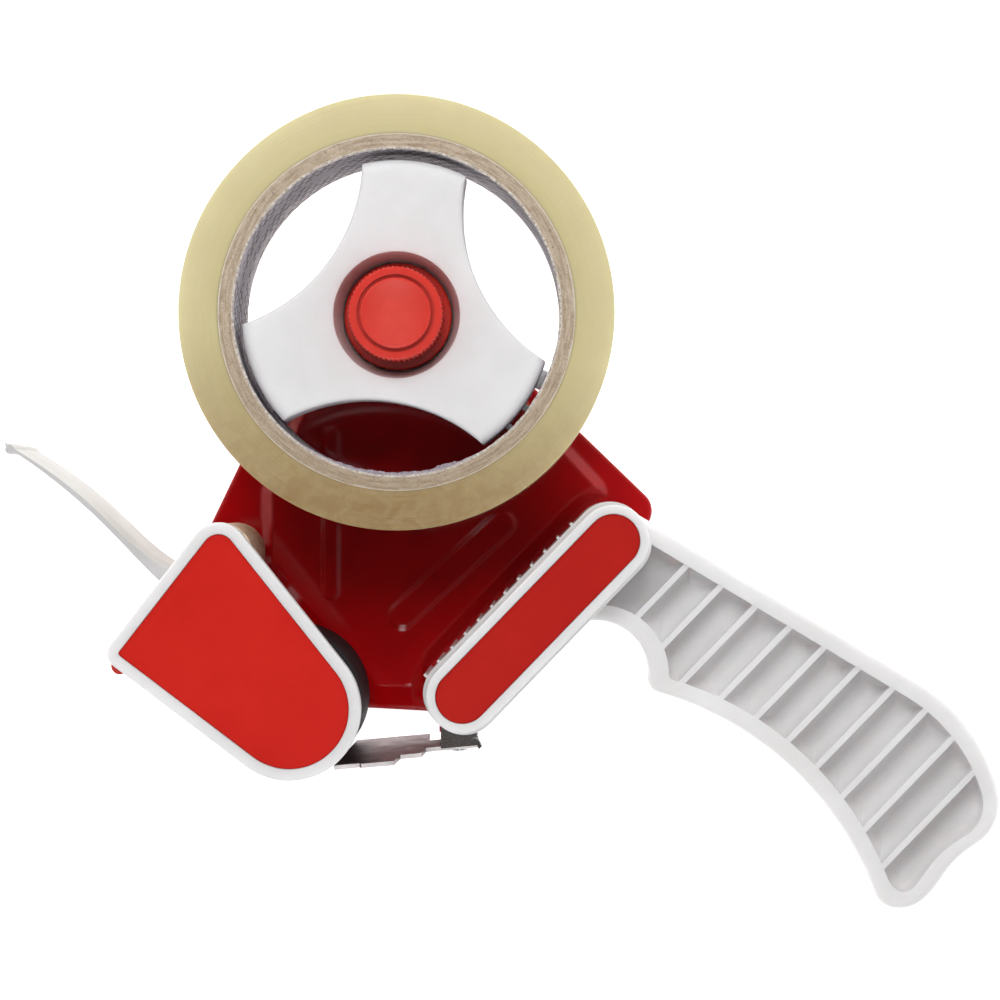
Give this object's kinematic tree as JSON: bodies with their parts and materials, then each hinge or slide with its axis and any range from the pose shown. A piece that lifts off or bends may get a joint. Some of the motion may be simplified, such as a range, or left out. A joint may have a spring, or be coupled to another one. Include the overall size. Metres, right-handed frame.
{
  "type": "tape gun dispenser",
  "caption": "Hand-held packing tape dispenser lying on its side plate: braked hub with a tape roll, ribbed grip, rubber press roller, sprung flap and guarded cutter.",
  "frame": {"origin": "centre of the footprint, on the plane the side plate lies on", "axes": "+Z along the hub's axis from the side plate to the brake knob, +X towards the grip"},
  "size_m": [0.2328, 0.1904, 0.0645],
  "materials": {
    "red_paint": "gloss",
    "white_plastic": "satin",
    "red_label": "satin",
    "milky_plastic": "satin",
    "steel": "satin",
    "blade_steel": "bright",
    "dark_steel": "satin",
    "rubber": "matt",
    "beige_plastic": "satin",
    "red_plastic": "satin",
    "fibre": "matt",
    "brass": "satin",
    "liner_paper": "matt",
    "cardboard": "matt",
    "tape_film": "gloss"
  },
  "bodies": {
    "frame": {"side_plate": "red_paint", "handle": "white_plastic", "handle_label": "red_label", "anti_stick_strip": "milky_plastic", "head_cover": "white_plastic", "head_label": "red_label", "head_posts": "white_plastic", "head_screws": "steel", "handle_screws": "steel", "bracket_screw": "steel", "roller_axle": "steel", "guide_axle": "steel", "flap_pin": "steel", "guard_pin": "steel", "axle_clips": "steel", "blade": "blade_steel", "blade_holder": "steel", "blade_screws": "steel", "guide_bracket": "dark_steel", "guide_plate": "dark_steel", "bracket_rivets": "steel", "hub_bolt": "steel", "friction_washer": "fibre"},
    "hub": {"hub_spider": "white_plastic", "hub_base": "white_plastic"},
    "tape_roll": {"core_liner": "liner_paper", "core": "cardboard", "tape": "tape_film"},
    "brake": {"brake_washer": "steel", "brake_spring": "steel"},
    "brake_knob": {"knob": "red_plastic", "knob_insert": "brass", "knob_cap": "red_plastic"},
    "press_roller": {"roller_core": "white_plastic", "roller_tyre": "rubber"},
    "idler": {"guide_roller": "beige_plastic"},
    "flap": {"tape_flap": "white_plastic"},
    "guard": {"blade_guard": "red_plastic"}
  },
  "joints": [
    {"name": "hub_spin", "type": "hinge", "parent": "frame", "child": "hub", "pos_m": [-0.02479, 0.04378, 0.0065], "axis": [0, 0, 1], "continuous": true},
    {"name": "roll_pull", "type": "slide", "parent": "hub", "child": "tape_roll", "axis": [0, 0, 1], "range_m": [0, 0.055]},
    {"name": "knob_travel", "type": "slide", "parent": "frame", "child": "brake", "axis": [0, 0, 1], "range_m": [-0.00083, 0.0025], "deforming": ["brake_spring"]},
    {"name": "knob_turn", "type": "hinge", "parent": "brake", "child": "brake_knob", "pos_m": [-0.02479, 0.04378, 0.05], "axis": [0, 0, 1], "range_deg": [-241, 721]},
    {"name": "roller_spin", "type": "hinge", "parent": "frame", "child": "press_roller", "pos_m": [-0.05058, -0.04662, 0.03], "axis": [0, 0, 1], "continuous": true},
    {"name": "idler_spin", "type": "hinge", "parent": "frame", "child": "idler", "pos_m": [-0.06549, -0.01172, 0.03], "axis": [0, 0, 1], "continuous": true},
    {"name": "flap_hinge", "type": "hinge", "parent": "frame", "child": "flap", "pos_m": [-0.07329, -0.02012, 0.03], "axis": [0, 0, 1], "range_deg": [-35, 0], "stiffness_Nm_per_rad": 0.02},
    {"name": "guard_hinge", "type": "hinge", "parent": "frame", "child": "guard", "pos_m": [-0.08188, -0.02652, 0.03], "axis": [0, 0, 1], "range_deg": [-35, 0], "stiffness_Nm_per_rad": 0.02}
  ],
  "couplings": [
    {"joint": "knob_turn", "follows": "knob_travel", "rad_per_m": 5026.5}
  ]
}
